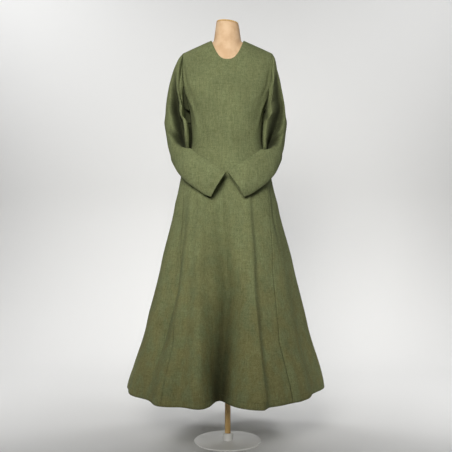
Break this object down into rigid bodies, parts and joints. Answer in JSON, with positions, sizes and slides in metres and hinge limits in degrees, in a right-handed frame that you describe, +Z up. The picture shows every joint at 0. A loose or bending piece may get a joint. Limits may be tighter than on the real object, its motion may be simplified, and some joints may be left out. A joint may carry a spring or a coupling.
{
  "type": "long wool dress on a limbless dress form",
  "caption": "Plain full-length A-line wool dress with a round neck and long folded sleeves, on a limbless dress form with pole and round foot",
  "frame": {"origin": "the middle of the foot plate's underside, on the floor", "axes": "+Z up, the front of the dress faces -Y, +X to the right in a front view"},
  "size_m": [0.8413, 0.7637, 1.7625],
  "materials": {
    "wool": "matt woven wool, dull olive green",
    "form_cover": "matt skin-toned cover",
    "bare_wood": "satin pale wood",
    "pale_metal": "satin off-white paint"
  },
  "bodies": {
    "root": {"front_panel": "wool", "back_panel": "wool", "gore_left": "wool", "gore_right": "wool", "sleeve_left": "wool", "sleeve_right": "wool", "gusset_left": "wool", "gusset_right": "wool", "form_body": "form_cover", "neck_plate": "bare_wood", "pole_flange": "pale_metal", "pole": "bare_wood", "pole_collar": "pale_metal", "foot_plate": "pale_metal"}
  },
  "joints": []
}
